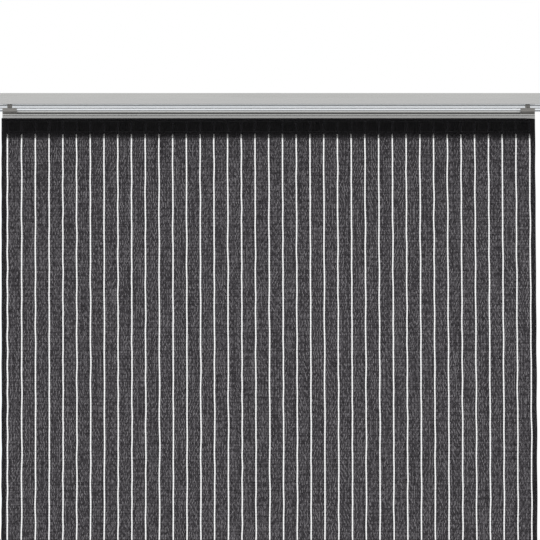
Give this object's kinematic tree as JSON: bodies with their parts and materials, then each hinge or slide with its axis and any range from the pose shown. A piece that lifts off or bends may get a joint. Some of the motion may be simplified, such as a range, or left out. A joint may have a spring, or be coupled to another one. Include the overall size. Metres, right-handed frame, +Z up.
{
  "type": "sliding panel curtain",
  "caption": "Black open-work cloth panel on an aluminium top holder, sliding by gliders along a ceiling track with parallel channels.",
  "frame": {"origin": "centre of the middle ceiling clip's top face, in the ceiling plane, half way along the track", "axes": "+X along the track, +Y away from the room towards the window, +Z up"},
  "size_m": [1.4046, 0.062, 2.3994],
  "materials": {
    "aluminium": "satin anodised",
    "grey_plastic": "moulded matt",
    "pale_grey_plastic": "moulded matt",
    "black_tape": "hook and loop pile",
    "black_cloth": "open-work weave in stripes"
  },
  "bodies": {
    "track": {"track_rail": "aluminium", "track_end_cap_left": "pale_grey_plastic", "track_end_cap_right": "pale_grey_plastic", "ceiling_clip_left": "pale_grey_plastic", "ceiling_clip_middle": "pale_grey_plastic", "ceiling_clip_right": "pale_grey_plastic"},
    "panel": {"top_holder": "aluminium", "glider_left": "grey_plastic", "glider_right": "grey_plastic", "hook_tape": "black_tape", "loop_tape": "black_tape", "panel_cloth": "black_cloth", "bottom_bar": "aluminium", "bottom_bar_cap_left": "grey_plastic", "bottom_bar_cap_right": "grey_plastic"}
  },
  "joints": [
    {"name": "panel_slide", "type": "slide", "parent": "track", "child": "panel", "axis": [1, 0, 0], "range_m": [-0.3938, 0.3938]}
  ]
}
